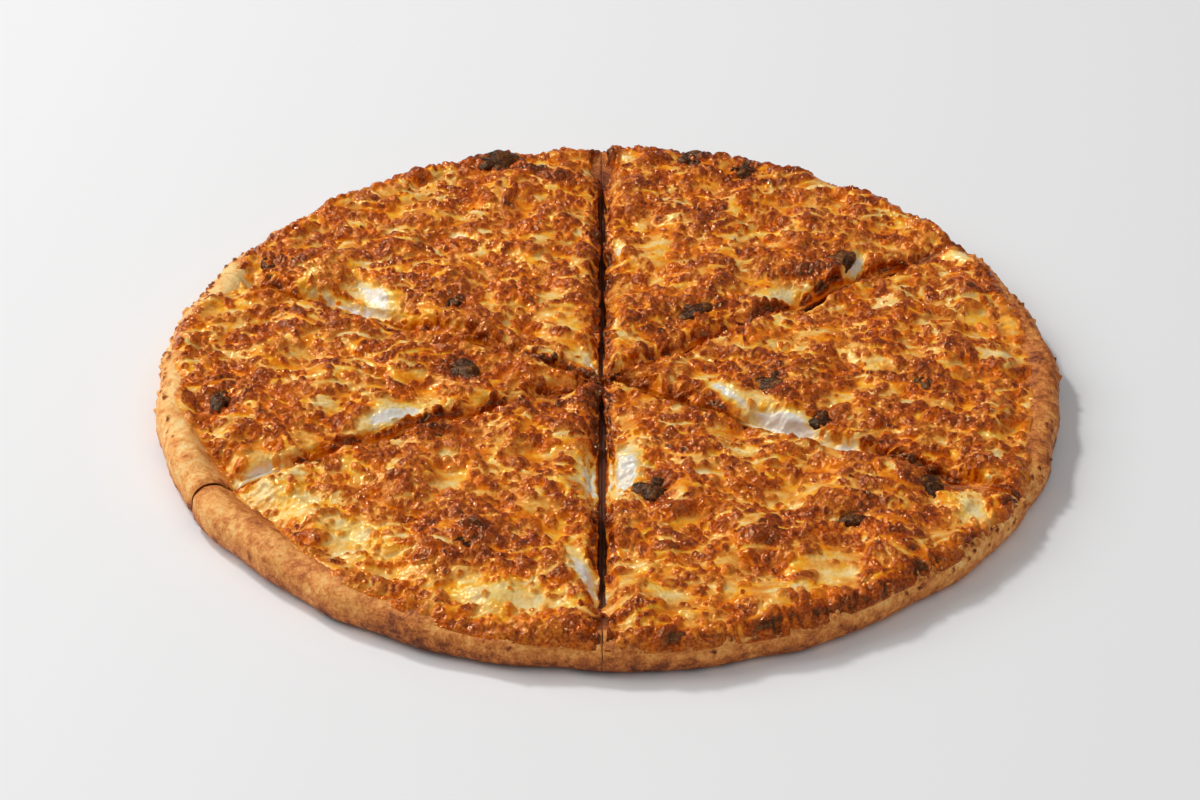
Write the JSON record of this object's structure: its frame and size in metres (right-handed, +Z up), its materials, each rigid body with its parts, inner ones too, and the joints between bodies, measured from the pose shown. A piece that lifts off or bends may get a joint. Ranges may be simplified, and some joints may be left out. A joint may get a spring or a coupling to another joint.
{
  "type": "pan pizza",
  "caption": "Round pan pizza with a low rolled dough rim, melted blistered cheese and mushroom slices, cut into wedges that lie together.",
  "frame": {"origin": "on the underside, at the middle of the round outline", "axes": "+Z up out of the pizza, +X right and +Y away from the viewer along the straight cut"},
  "size_m": [0.305, 0.3005, 0.0207],
  "materials": {
    "dough": "baked dough, tan to golden brown, dry and fine-grained",
    "cheese": "melted cheese, cream to orange with glossy brown blisters",
    "mushroom": "cooked mushroom, moist grey-brown to black-brown"
  },
  "bodies": {
    "root": {"crust_back_left": "dough", "crust_left": "dough", "crust_front_left": "dough", "crust_front_right": "dough", "crust_right": "dough", "crust_back_right": "dough", "cheese_back_left": "cheese", "cheese_left": "cheese", "cheese_front_left": "cheese", "cheese_front_right": "cheese", "cheese_right": "cheese", "cheese_back_right": "cheese", "mushroom_back_rim_left": "mushroom", "mushroom_back_left_inner": "mushroom", "mushroom_back_left_outer": "mushroom", "mushroom_back_rim_middle": "mushroom", "mushroom_back_rim_right": "mushroom", "mushroom_back_right_outer": "mushroom", "mushroom_back_right_inner": "mushroom", "mushroom_right_inner": "mushroom", "mushroom_right_edge": "mushroom", "mushroom_right_outer": "mushroom", "mushroom_front_right_inner": "mushroom", "mushroom_front_right_outer": "mushroom", "mushroom_front_right_middle": "mushroom", "mushroom_front_left_tip": "mushroom", "mushroom_front_left_edge": "mushroom", "mushroom_front_left_middle": "mushroom", "mushroom_left_inner": "mushroom", "mushroom_left_outer": "mushroom"}
  },
  "joints": []
}
